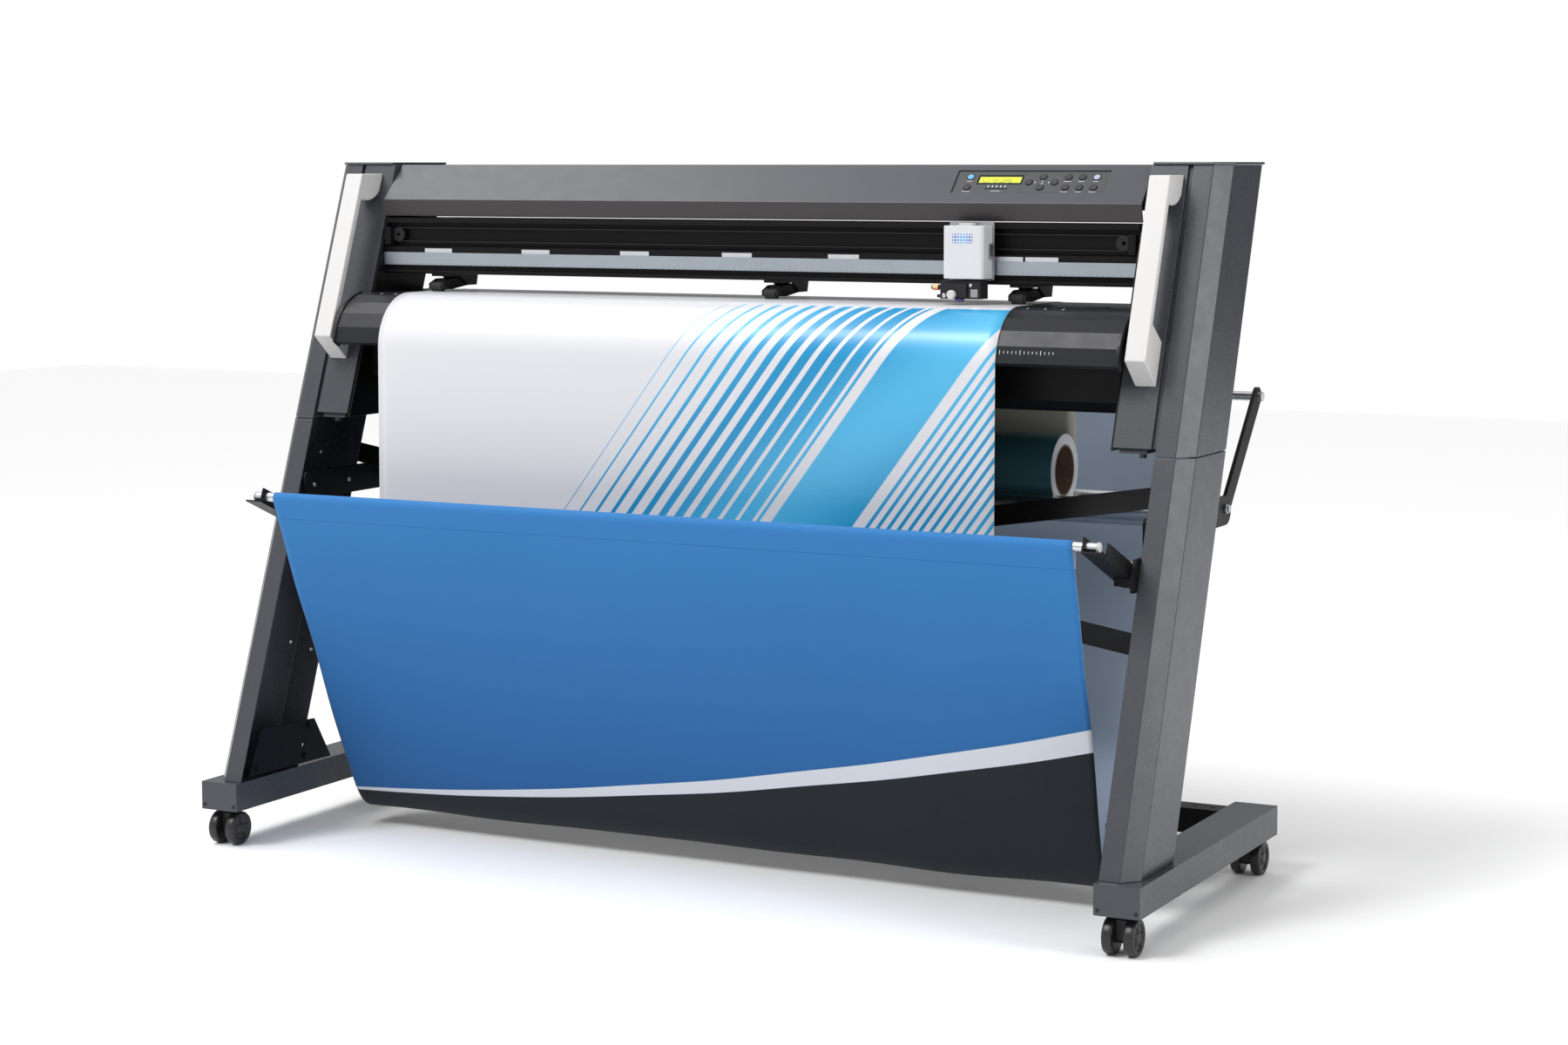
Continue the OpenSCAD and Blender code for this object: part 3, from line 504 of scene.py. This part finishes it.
def thin_shell(name, materials, profile, span, columns, thick, offset):
    """A closed thin sheet along a (depth, height) profile. offset(x, s) moves a point out of the
    face in millimetres; span(s) gives its two ends across."""
    mesh = bpy.data.meshes.new(name)
    bm = bmesh.new()
    uv = bm.loops.layers.uv.new("flat")
    grids, flats = ([], []), []
    for i, (point, s) in enumerate(profile):
        a = profile[max(0, i - 1)][0]
        b = profile[min(len(profile) - 1, i + 1)][0]
        t = Vector((b[0] - a[0], b[1] - a[1])).normalized()
        normal = (t[1], -t[0])
        low, high = span(s)
        rows, flat = ([], []), []
        for j in range(columns + 1):
            x = low + (high - low) * j / columns
            out = offset(x, s)
            for side in (0, 1):
                d = out - side * thick
                rows[side].append(bm.verts.new(at(x, point[0] + normal[0] * d, point[1] + normal[1] * d)))
            flat.append((x / 1000, s / 1000))
        grids[0].append(rows[0])
        grids[1].append(rows[1])
        flats.append(flat)

    def quad(corners, index, where):
        face = bm.faces.new(corners)
        face.material_index, face.smooth = index, True
        for loop, (i, j) in zip(face.loops, where):
            loop[uv].uv = flats[i][j]

    n, m = len(profile) - 1, columns
    for i in range(n):
        for j in range(m):
            where = [(i, j), (i, j + 1), (i + 1, j + 1), (i + 1, j)]
            quad([grids[0][p][q] for p, q in where], 0, where)
            quad([grids[1][p][q] for p, q in reversed(where)], 1, list(reversed(where)))
    rim = [((i, 0), (i + 1, 0)) for i in range(n)] + [((i + 1, m), (i, m)) for i in range(n)]
    rim += [((0, j + 1), (0, j)) for j in range(m)] + [((n, j), (n, j + 1)) for j in range(m)]
    for p, q in rim:
        quad([grids[0][p[0]][p[1]], grids[0][q[0]][q[1]], grids[1][q[0]][q[1]], grids[1][p[0]][p[1]]],
             1, [p, q, q, p])
    bmesh.ops.recalc_face_normals(bm, faces=bm.faces)
    bm.to_mesh(mesh)
    bm.free()
    for material in materials:
        mesh.materials.append(material)
    o = linked(name, mesh)
    return o


# Loaded sheet: up from the roll, over the bed, and down over the apron

SHEET_OUT = 0.65
sheet_line = [(ROLL[0] + ROLL_R + 1.0, ROLL[1])]
sheet_line += arc(REAR_C, REAR_R + SHEET_OUT, -90, 0, 24)
REAR_BEND = math.radians(90) * (REAR_R + SHEET_OUT)
BED_EDGE = math.dist(sheet_line[0], sheet_line[1]) + REAR_BEND + REAR_C[0] - APRON_C[0]
sheet_line += arc(APRON_C, APRON_R + 0.5 + SHEET_OUT, 0, 90, 32)
sheet_line.append((APRON_C[0] - APRON_R - 0.5 - SHEET_OUT, SHEET_LOW + 1))
sheet_profile = resample(sheet_line, 7)
SHEET_LONG = sheet_profile[-1][1]


def sheet_material():
    """Glossy white film with a plain print of slanting stripes."""
    s = Surface("print_film", (0.70, 0.70, 0.73), 0.32, vary=0.006, grain=0.03, grain_size=0.003,
                wear=0.03, Coat_Weight=0.2, Coat_Roughness=0.2)
    x, v, _ = s.axes(s.uv)
    down = v - BED_EDGE / 1000
    along = x + down * 0.75
    broad = along.between(0.42, 0.56, 0.0012)
    share = ((along - 0.02) / 0.36).math("MINIMUM", 0.92).math("MAXIMUM", 0.06)
    stripe = along.cell(0.030).math("ABSOLUTE").math("SUBTRACT", share * 0.0125).above(0.0, 0.0004)
    stripe = stripe.flipped() * along.between(0.02, 0.40, 0.0005)
    thin = along.cell(0.018).math("ABSOLUTE").below(0.0035, 0.0004)
    thin = thin * along.above(0.58, 0.0005)
    ink = (stripe + broad + thin).math("MINIMUM", 1.0) * down.above(0.03, 0.0008)
    blend = (along * 1.2 + down * 0.8).wave(0.62)
    s.paint(ink, s.mix(blend, (0.002, 0.26, 0.53), (0.075, 0.45, 0.74)))
    return s.done()


BACKING = Surface("film_backing", (0.50, 0.48, 0.42), 0.6, vary=0.05, grain=0.1).done()

media = thin_shell("loaded_sheet", [sheet_material(), BACKING], sheet_profile,
                   lambda s: (SHEET_X[0], SHEET_X[1]), 60, 0.45, lambda x, s: 0.0)
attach(media, "stand")
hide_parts("media_sheet")
SHEET_LONG / 1000

# Catch cloth: pocket over the front rod, down, along the bottom, up and over the rear rod

HEM = 34
CLOTH_T = 0.9
CLOTH_HALF = 697        # half of its width


def tangent(rod, toward, side, radius):
    """Where a cloth round a rod leaves it towards a point; side is 1 to keep the rod on the left."""
    dx, dz = toward[0] - rod[0], toward[1] - rod[1]
    far = math.hypot(dx, dz)
    a = math.atan2(dz, dx) + side * math.acos(radius / far)
    return (rod[0] + radius * math.cos(a), rod[1] + radius * math.sin(a)), a


def wrap(rod, start, end, radius, steps=14):
    return [(rod[0] + radius * math.cos(start + (end - start) * i / steps),
             rod[1] + radius * math.sin(start + (end - start) * i / steps)) for i in range(steps + 1)]


cloth_r = ROD_R + CLOTH_T + 0.3
bend, rise = (236, 52), (349, 62)
front_leave, front_angle = tangent(FRONT_ROD, bend, -1, cloth_r)
rear_leave, rear_angle = tangent(REAR_ROD, rise, 1, cloth_r)
front_dir = Vector((bend[0] - front_leave[0], bend[1] - front_leave[1])).normalized()
POCKET_GAP = 2.4
inner_seam = (front_leave[0] + front_dir[0] * HEM + POCKET_GAP * 0.9,
              front_leave[1] + front_dir[1] * HEM + POCKET_GAP * 0.4)
front_start = math.radians(-15)
front_end = front_angle + (0 if front_angle > 0 else 2 * math.pi)
front_wrap = wrap(FRONT_ROD, front_start, front_end, cloth_r)
body_line = [front_leave, bend, (262, 27), (292, 22.5), (322, 30), rise, rear_leave]
body_even = [p for p, _ in resample(body_line, 8)]
body_soft = relax(body_even, 14, (1, 1))
cloth_line = [inner_seam] + front_wrap + [tuple(p) for p in body_soft[1:-1]]
cloth_line += wrap(REAR_ROD, rear_angle, rear_angle - math.radians(215), cloth_r)
cloth_profile = resample(cloth_line, 5)
CLOTH_LONG = cloth_profile[-1][1]
TOP_S = math.dist(inner_seam, front_wrap[0]) + cloth_r * abs(front_end - front_start)
FOLD_S = TOP_S + math.dist(front_leave, bend)
REAR_S = CLOTH_LONG - 60


def cloth_span(s):
    """The cloth is a little narrower at the bottom than at its rods."""
    t = min(1, max(0, (s - TOP_S) / (FOLD_S - TOP_S)))
    back = min(1, max(0, (s - FOLD_S - 160) / (REAR_S - FOLD_S - 160)))
    half = CLOTH_HALF - 22 * (t ** 1.3) * (1 - back)
    return -half, half


def cloth_offset(x, s):
    """Slow hanging folds, and small puckers along the hem's seam."""
    hang = min(1, max(0, (s - TOP_S - HEM) / 160))
    low = math.exp(-((s - FOLD_S) / 190) ** 2)
    front = 1 if s < FOLD_S + 60 else 0.45
    d = hang * front * (1.1 * math.sin(x / 121 + s / 160) + 0.7 * math.sin(x / 47 - s / 75 + 1.3))
    d += low * 2.0 * math.sin(x / 83 + 0.7) * math.sin(x / 213 + 2.1)
    edge = max(0.0, abs(x) / 690 - 0.86) / 0.14
    d += hang * edge * 2.2 * math.sin(s / 46 + x / 300)
    d += 0.35 * math.sin(x / 6.5) * math.exp(-((s - TOP_S - HEM) / 5) ** 2)
    down = min(1, max(0, (s - TOP_S) / (FOLD_S - TOP_S)))
    bowl = 6 * math.sin(math.pi * down) * math.cos(x / CLOTH_HALF * math.pi / 2)
    return d - bowl if TOP_S < s < FOLD_S else d


def weave(u, v, pitch):
    """Plain weave: threads across and along that pass over each other."""
    a, b = u.wave(pitch), v.wave(pitch)
    return a * b + a.flipped() * b.flipped()


def cloth_material(name, base, with_painted_light):
    s = Surface(name, base, 0.75, vary=0.04, grain=0.35, grain_size=0.0016, Sheen_Weight=0.06,
                Sheen_Roughness=0.5, Specular_IOR_Level=0.2)
    x, v, _ = s.axes(s.uv)
    # Painted light on the outside face only: painted shade and a painted highlight; the stitched hem below is
    # the cloth's own.
    if with_painted_light:
        # Painted shade: the front darkens from its top down to the bend.
        depth = (v - TOP_S / 1000) / ((FOLD_S - TOP_S) / 1000)
        shade_downward = depth.math("MAXIMUM", 0.0).math("MINIMUM", 1.0)
        s.colour = s.mix(shade_downward, s.mix(s.noise(4, 3), (0.031, 0.180, 0.455), (0.038, 0.198, 0.490)),
                         (0.017, 0.100, 0.290))
        # Painted shade: a near-black patch over the front's lower part, below a line that climbs towards the
        # right.
        side = (x + 0.675) / 1.35
        line = (side * side * -0.150) - side * 0.075 + (FOLD_S / 1000 - 0.012)
        half = side * 0.016 + 0.003
        from_line = v - line
        s.paint(from_line.above(half, 0.0006), (0.012, 0.0165, 0.022))
        # Painted highlight: a pale stripe along that line.
        painted_highlight_line = from_line.math("ABSOLUTE").math("SUBTRACT", half).below(0.0, 0.0005)
        s.paint(painted_highlight_line, (0.62, 0.65, 0.70))
    stitch = v.between((TOP_S + HEM - 0.8) / 1000, (TOP_S + HEM + 0.6) / 1000, 0.0002)
    dash = x.cell(0.0042).math("ABSOLUTE").below(0.0014, 0.0002)
    s.paint(stitch * dash * 0.6, [min(1, c * 0.45) for c in base])
    s.relief = weave(x, v, 0.0016) * 0.6 + s.relief * 0.4
    return s.done()


# The outside of the cloth gets the painted shade and highlight; the inside gets none.
CLOTH_OUT = cloth_material("cloth_blue", (0.034, 0.190, 0.47), True)
CLOTH_IN = cloth_material("cloth_inside", (0.38, 0.455, 0.57), False)

cloth = thin_shell("catch_cloth", [CLOTH_OUT, CLOTH_IN], cloth_profile, cloth_span,
                   150, CLOTH_T, cloth_offset)
at(0, 58, 577)
at(0, 236, 577)
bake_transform(cloth)
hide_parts("basket_cloth")
CLOTH_LONG / 1000


# ---- casters -------------------------------------------------------------------------------

def caster_wheel_profile(side):
    """Rounded tyre with a dished hub and a raised cap, from the fork outwards."""
    tyre = [(8.5, 12), (8.5, 24), (9.4, 26.2), (11.5, 27.4), (16.5, 27.5), (21.5, 27.4), (23.6, 26.2),
            (24.5, 24), (24.5, 20.5), (23.8, 19.6), (21.8, 18.6), (21.6, 9.5), (23.0, 8.6), (24.0, 7.6),
            (24.2, 3.0)]
    return [(side * a, r) for a, r in tyre]


for corner, side_x, end in CORNERS:
    stem_y, axle_y = STEM_AND_AXLE[end]
    middle = at(side_x * CASTER_X, axle_y, AXLE_Z)

    def build_wheels(bm, middle=middle):
        for side in (1, -1):
            add_lathe(bm, middle, FACING_RIGHT, caster_wheel_profile(side), 64)
            for k in range(5):
                a = 2 * math.pi * k / 5 + 0.3
                spoke = Vector((side * 22.0, 13.9 * math.cos(a), 13.9 * math.sin(a))) / 1000
                turn = FACING_RIGHT @ Matrix.Rotation(a, 3, "Z")
                add_box(bm, middle + spoke, (8.2, 2.6, 1.6), turn)
        add_lathe(bm, middle - Vector((0.0115, 0, 0)), FACING_RIGHT, [(0, 4), (23, 4)], 32)

    wheels = piece("wheels_" + corner, "caster_wheels_" + corner, [WHEEL], build_wheels)
    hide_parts("caster_wheels_" + corner)

    def build_stem(bm, stem_y=stem_y, side_x=side_x):
        add_hex(bm, at(side_x * CASTER_X, stem_y, 56.9), FACING_UP, 15, 2.9)
        washer = [(0, 9.4), (0.4, 9.8), (1.2, 9.8), (1.6, 9.4)]
        add_lathe(bm, at(side_x * CASTER_X, stem_y, 55.4), FACING_UP, washer, 40)

    piece("stem_nut_" + corner, "caster_fork_" + corner, [BOLT], build_stem)


# ---- fasteners and small parts ---------------------------------------------------------------

def build_foot_screws(bm):
    """Two screws in the end plate at each end of each foot."""
    for side in (-1, 1):
        for x in (755, 813):
            add_screw(bm, at(side * x, 0.6, 68), FACING_FRONT, 3.0)
            add_screw(bm, at(side * x, 619.4, 68), FACING_BACK, 3.0)


def build_post_screws(bm):
    """Screws on the inner sides of the uprights and on the braces' ends."""
    for side in (-1, 1):
        for up, back in ((250, 60), (250, 120), (540, 40), (575, 40)):
            p = on_post(side * POST_INSIDE, up, -back)
            add_screw(bm, p, FACING_LEFT if side > 0 else FACING_RIGHT, 3.2)


def build_cover_screws(bm):
    """Screws of the top cover's back, and of the chassis' front and back."""
    for side in (-1, 1):
        for _ in range(2):      # two screws share this place
            add_screw(bm, at(side * 640, 548.2, 1082), FACING_BACK, 3.0)
        for z in (765, 795):
            add_screw(bm, at(side * 672, 299.8, z), FACING_FRONT, 2.6, 1)
        for x in (80, 240, 400, 560):
            add_screw(bm, at(side * x, 452.1, 940), FACING_BACK, 2.6)
            add_screw(bm, at(side * x, CHASSIS_BACK, 880), FACING_BACK, 2.6)


piece("foot_screws", "stand", [DARK], build_foot_screws)
piece("post_screws", "stand", [BOLT], build_post_screws)
piece("cover_screws", "stand", [BOLT, DARK], build_cover_screws)


def apron_point(x, angle, out=0.0):
    """A point on the apron's bent face at an angle from straight up."""
    step = APRON_END / APRON_BENDS
    k = min(APRON_BENDS - 1, int(angle // step))
    t = (angle - k * step) / step
    pair = arc(APRON_C, APRON_R, k * step, (k + 1) * step, 1)
    a, b = pair
    p = [a[c] + (b[c] - a[c]) * t for c in (0, 1)]
    middle = math.radians((k + 0.5) * step)
    normal = (-math.sin(middle), math.cos(middle))
    turn = Matrix.Rotation(middle, 3, "X")
    return at(x, p[0] + normal[0] * out, p[1] + normal[1] * out), turn


def build_apron_marks(bm):
    """Short white guide marks beside the sheet, and one row low on the apron."""
    for x in (523, 552, 581, -623, -652):
        p, turn = apron_point(x, 8, 0.05)
        add_box(bm, p, (1.2, 9, 0.2), turn)
    for k in range(14):
        p, turn = apron_point(508 + 6.6 * k, 74, 0.05)
        add_box(bm, p, (0.8, 7 if k % 5 == 0 else 4, 0.2), turn)


piece("apron_marks", "stand", [TICK], build_apron_marks)


def build_bed_sensor(bm):
    """Low sensor housing let into the bed beside the sheet."""
    add_box(bm, at(628, 312, 904), (34, 12, 1.8))
    add_box(bm, at(628, 312, 905), (20, 7, 0.8))


piece("bed_sensor", "stand", [DARK], build_bed_sensor, bevel=0.3)


def build_beam_trim(bm):
    """Two long ribs behind the belt, and the carriage's end stops."""
    for z in (1021.5, 1024.5):
        add_box(bm, at(0, 345.8, z), (1340, 0.8, 1.2))
    for side in (-1, 1):
        add_box(bm, at(side * 671, 342, 998), (12, 10, 30))


piece("beam_trim", "stand", [BLACK], build_beam_trim, bevel=0.3)


def build_tool_parts(bm):
    """Clamp knob, depth screw, side knob and the violet holder collar."""
    add_lathe(bm, at(CARRIAGE_X - 17, 291, 920), FACING_FRONT,
              [(-5, 6), (-4.6, 6.6), (2.2, 6.6), (3.2, 5.8), (3.4, 4.6), (3.0, 3.6), (3.0, 1)], 48, 0)
    add_lathe(bm, at(CARRIAGE_X - 31, 297, 918), FACING_FRONT,
              [(0, 3.4), (1.2, 3.4), (1.8, 2.6), (1.8, 1)], 24, 1)
    add_lathe(bm, at(CARRIAGE_X - 46, 312, 930), FACING_LEFT,
              [(0, 4.4), (0.6, 4.9), (9.5, 4.9), (10.5, 4.2), (10.5, 1)], 36, 2, cogs=18, cog_depth=0.5)
    add_lathe(bm, at(CARRIAGE_X - 12, 312, 909), FACING_UP,
              [(0, 7.3), (0.5, 7.6), (3.2, 7.6), (3.7, 7.2)], 40, 3)
    add_lathe(bm, at(CARRIAGE_X + 12, 299.6, 934), FACING_FRONT, [(0, 2.6), (1, 2.6), (1.5, 1.8)], 24, 1)
    add_box(bm, at(CARRIAGE_X + 18, 299.2, 922), (12, 12, 1.6), FACING_FRONT, 4)


piece("tool_parts", "tool_holder", [WHITE, BOLT, COPPER, VIOLET, GREY_METAL],
      build_tool_parts, bevel=0.3)


def build_carriage_trim(bm):
    """Small cap on top of the cover, its two screws and the grey tab on its right."""
    add_box(bm, at(CARRIAGE_X - 2, 318, 1027), (22, 14, 3.6))
    add_box(bm, at(CARRIAGE_X + 35.2, 322, 985), (2.2, 12, 24), index=1)
    for z in (952, 1018):
        add_screw(bm, at(CARRIAGE_X - 33.2, 316, z), FACING_LEFT, 2.2, 1)


piece("carriage_trim", "carriage", [WHITE, GREY_METAL], build_carriage_trim, bevel=0.6)


def build_panel_print(bm):
    """Display bezel, button rings, a thin frame line and plain marks in place of the labels."""
    out = -PANEL_DEEP + 0.06
    for x, up, w, h in ((438, 61.3, 72, 2.2), (438, 43.9, 72, 1.6),
                        (401.6, 52.5, 2.2, 19), (474.4, 52.5, 2.2, 19)):
        add_box(bm, on_slope(x, up, out + 0.25), (w, h, 0.6), SLOPE_FRAME, 0)
    add_box(bm, on_slope(436, 33.6, out), (37, 3.0, 0.2), SLOPE_FRAME, 0)
    for k in range(5):
        add_box(bm, on_slope(422 + 7 * k, 38.2, out), (1.4, 4.6, 0.1), SLOPE_FRAME, 1)
    for x, up, w in ((387, 49.2, 9), (387, 27.2, 13), (436, 28.6, 16), (550, 49.2, 11), (573, 49.2, 10),
                     (596, 49.2, 9), (550, 27.2, 12), (573, 27.2, 10), (596, 27.2, 11)):
        add_box(bm, on_slope(x, up, out), (w, 0.8, 0.1), SLOPE_FRAME, 1)
    for dx, dv in ((11.5, 0), (-11.5, 0), (0.5, 2.6), (0.5, -2.6)):
        add_box(bm, on_slope(508.5 + dx, 47 + dv, out), (1.9, 1.9, 0.1), SLOPE_FRAME, 1)
    for x, up in KEYS:
        add_lathe(bm, on_slope(x, up, -PANEL_DEEP - 0.3), SLOPE_FRAME,
                  [(0, 5.25), (0.5, 5.25), (0.9, 5.6), (0.9, 6.1), (0.5, 6.5), (0, 6.5)], 40, 0, closed=True)


piece("panel_print", "stand", [CARBON, TICK], build_panel_print)


def build_rear_details(bm):
    """Vent slots, the inlet's pins and its switch on the back of the chassis."""
    for k in range(18):
        for z in (852, 836):
            add_box(bm, at(-420 + 22 * k, CHASSIS_BACK, z), (15, 3, 0.5), FACING_BACK, 0)
    for x in (570, 575, 580):
        add_box(bm, at(x, 431, 788), (1.4, 4, 5), FACING_BACK, 1)
    add_box(bm, at(537, 441, 788), (15, 21, 2.5), FACING_BACK, 0)
    add_box(bm, at(537, 442.5, 788), (10, 16, 2.2), FACING_BACK, 2)


piece("rear_details", "stand", [CARBON, BOLT, RUBBER], build_rear_details, bevel=0.2)


def build_basket_bolts(bm):
    """Pivot and stop bolts of the basket's arms, and the rollers' end nuts."""
    for side in (-1, 1):
        inward = FACING_LEFT if side > 0 else FACING_RIGHT
        outward = FACING_RIGHT if side > 0 else FACING_LEFT
        add_hex(bm, at(side * 711, ARM_PIVOT[0], ARM_PIVOT[1]), inward, 11, 4, 0)
        for y, z in ((213, 530), (160, 540)):
            add_hex(bm, at(side * 745, y, z), inward, 9, 3.6, 0)
        for y in (220, 320):
            add_screw(bm, at(side * 745, y, 580), inward, 4, 1)
        for y in (433, 547):
            add_hex(bm, at(side * 751.2, y, 583), outward, 14, 5, 1)


piece("basket_bolts", "stand", [BRASS, BOLT], build_basket_bolts)


def build_rod_caps(bm, rod, x):
    """A cap on both ends of a rod."""
    for side in (-1, 1):
        turn = FACING_RIGHT if side > 0 else FACING_LEFT
        add_lathe(bm, at(side * x, rod[0], rod[1]), turn, [(0, 7.7), (3, 7.7), (4, 6.9), (4.2, 2)], 48)


piece("front_rod_caps", "basket_front", [WHITE],
      lambda bm: build_rod_caps(bm, FRONT_ROD, 733))
piece("rear_rod_caps", "stand", [WHITE],
      lambda bm: build_rod_caps(bm, REAR_ROD, 755))


# ---- stage -----------------------------------------------------------------------------------

floor_mesh = bpy.data.meshes.new("floor")
floor_mesh.from_pydata([(-9, -9, 0), (9, -9, 0), (9, 9, 0), (-9, 9, 0)], [], [(0, 1, 2, 3)])
floor = linked("floor", floor_mesh)
floor_mesh.materials.append(Surface("floor_pale", (0.95, 0.95, 0.95), 0.85, vary=0.004, grain=0.02).done())


def studio_world():
    """White behind the object; as light, strongest from above and weakest from behind on the right."""
    world = bpy.data.worlds.new("studio")
    world.use_nodes = True
    tree = world.node_tree
    split = tree.nodes.new("ShaderNodeSeparateXYZ")
    tree.links.new(tree.nodes.new("ShaderNodeTexCoord").outputs["Generated"], split.inputs[0])
    x, y, z = [Field(tree, output) for output in split.outputs]
    glow = (z * 0.66 - x * 0.25 - y * 0.18 + 0.30).math("MAXIMUM", 0.08)
    seen = Field(tree, tree.nodes.new("ShaderNodeLightPath").outputs["Is Camera Ray"])
    strength = glow + seen * glow.flipped()
    tree.nodes["Background"].inputs["Color"].default_value = (1, 1, 1, 1)
    tree.links.new(strength.socket, tree.nodes["Background"].inputs["Strength"])
    bpy.context.scene.world = world


studio_world()


def soft_light(name, place, aim, size, power):
    """A rectangular light of a size in metres, aimed at a point."""
    data = bpy.data.lights.new(name, "AREA")
    data.shape, data.size, data.size_y, data.energy = "RECTANGLE", size[0], size[1], power
    o = linked(name, data)
    o.location = place
    o.rotation_euler = (Vector(aim) - Vector(place)).to_track_quat("-Z", "Y").to_euler()


soft_light("key_light", (-2.0, -3.0, 4.4), (0, 0, 0.6), (2.2, 2.2), 45)
soft_light("top_light", (-2.1, -0.3, 3.6), (0, 0, 0.8), (1.5, 1.4), 28)
soft_light("side_card", (4.3, -0.55, 1.75), (0.8, -0.15, 0.75), (0.8, 2.6), 46)


def soft_sun(energy, spread, tilt, bearing):
    """Parallel light, softened by its spread; angles in degrees."""
    data = bpy.data.lights.new("sun", "SUN")
    data.energy, data.angle = energy, math.radians(spread)
    o = linked("sun", data)
    o.rotation_euler = (math.radians(tilt), 0, math.radians(bearing))


soft_sun(1.1, 18, 38, -32)

bpy.context.scene.view_settings.view_transform = "Standard"
camera_data = bpy.data.cameras.new("camera")
camera_data.lens, camera_data.sensor_width = 69.58, 36
camera_data.shift_y = -0.07
camera = linked("camera", camera_data)
camera.location = (2.2782, -4.309, 1.1174)
camera.rotation_euler = (math.radians(85.325), 0, math.radians(27.09))
bpy.context.scene.camera = camera
